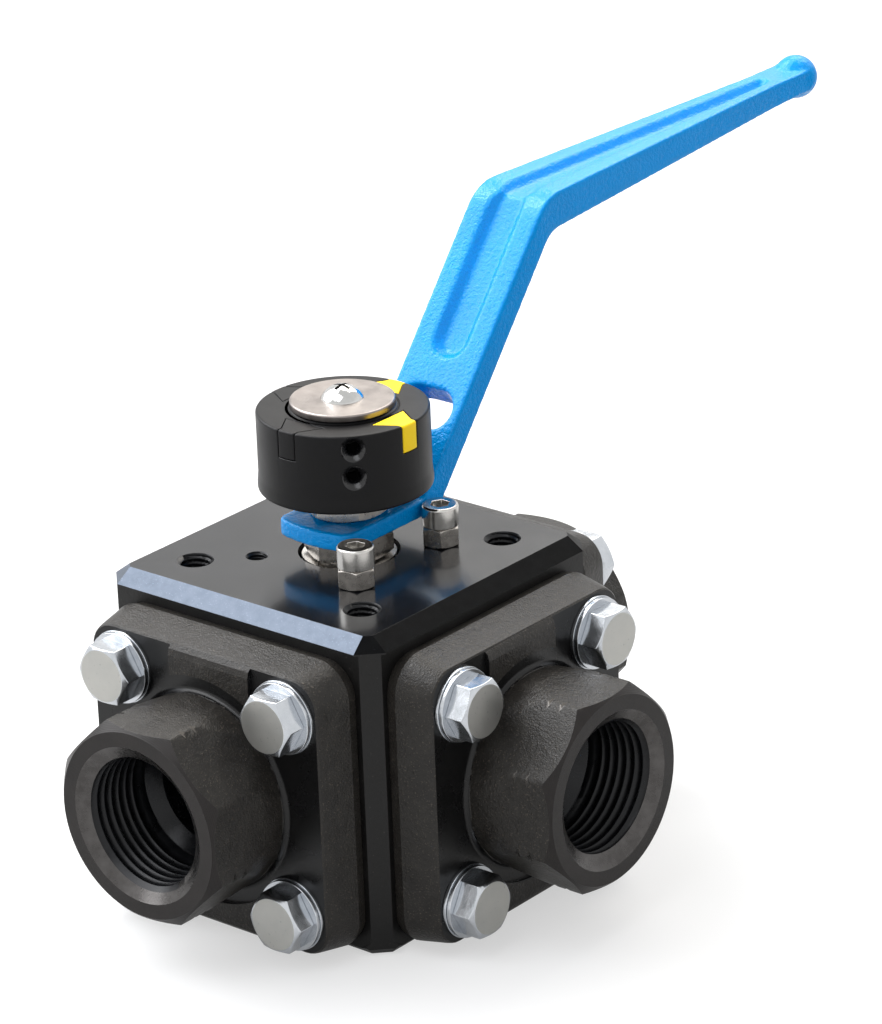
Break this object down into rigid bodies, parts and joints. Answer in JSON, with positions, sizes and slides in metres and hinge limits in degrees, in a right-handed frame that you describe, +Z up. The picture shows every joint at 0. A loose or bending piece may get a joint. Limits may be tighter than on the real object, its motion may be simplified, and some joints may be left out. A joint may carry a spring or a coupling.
{
  "type": "three-port ball valve",
  "caption": "Block ball valve with female pipe ports on the front, the side and the rear, turned by a cranked blue lever with a flow indicator.",
  "frame": {"origin": "centre of the machined pad on top of the valve body, on the stem's axis", "axes": "+Z up along the stem; +Y the lever's direction at rest, with a port at -Y, one at +X and one at +Y; -X is the blind side"},
  "size_m": [0.1146, 0.255, 0.1486],
  "materials": {
    "black_steel": "black phosphated, satin, oiled on the pad",
    "forged_steel": "as forged, black phosphated, rough",
    "zinc_steel": "bright zinc plated",
    "stem_steel": "machined stainless steel",
    "nut_steel": "plain machined steel",
    "ball_chrome": "polished hard chrome",
    "seat_plastic": "plain fluoroplastic",
    "seal_rubber": "smooth nitrile",
    "blue_coating": "glossy powder coat over a rough casting",
    "black_plastic": "moulded, fine texture",
    "yellow_plastic": "moulded inserts"
  },
  "bodies": {
    "valve": {"valve_body": "black_steel", "front_cap": "forged_steel", "side_cap": "forged_steel", "rear_cap": "forged_steel", "front_cap_bolts": "zinc_steel", "side_cap_bolts": "zinc_steel", "rear_cap_bolts": "zinc_steel", "front_cap_washers": "zinc_steel", "side_cap_washers": "zinc_steel", "rear_cap_washers": "zinc_steel", "front_cap_oring": "seal_rubber", "side_cap_oring": "seal_rubber", "rear_cap_oring": "seal_rubber", "front_seat": "seat_plastic", "side_seat": "seat_plastic", "rear_seat": "seat_plastic", "blind_seat": "seat_plastic", "thrust_washer": "seat_plastic", "lower_packing": "seat_plastic", "upper_packing": "seat_plastic", "gland_ring": "stem_steel", "stop_nuts": "nut_steel", "stop_screws": "nut_steel"},
    "spindle": {"stem": "stem_steel", "stem_oring": "seal_rubber", "lower_disc_spring": "stem_steel", "upper_disc_spring": "stem_steel", "gland_nut": "nut_steel", "lever": "blue_coating", "lock_nut": "nut_steel", "indicator": "black_plastic", "yellow_arrows": "yellow_plastic", "black_arrows": "black_plastic", "cover_washer": "stem_steel", "indicator_screw": "zinc_steel"},
    "ball": {"ball": "ball_chrome"}
  },
  "joints": [
    {"name": "lever_turn", "type": "hinge", "parent": "valve", "child": "spindle", "pos_m": [0, 0, 0], "axis": [0, 0, 1], "range_deg": [0, 180]},
    {"name": "ball_turn", "type": "hinge", "parent": "valve", "child": "ball", "pos_m": [0, 0, -0.0402], "axis": [0, 0, 1], "range_deg": [0, 180]}
  ],
  "couplings": [
    {"joint": "ball_turn", "follows": "lever_turn", "ratio": 1}
  ]
}
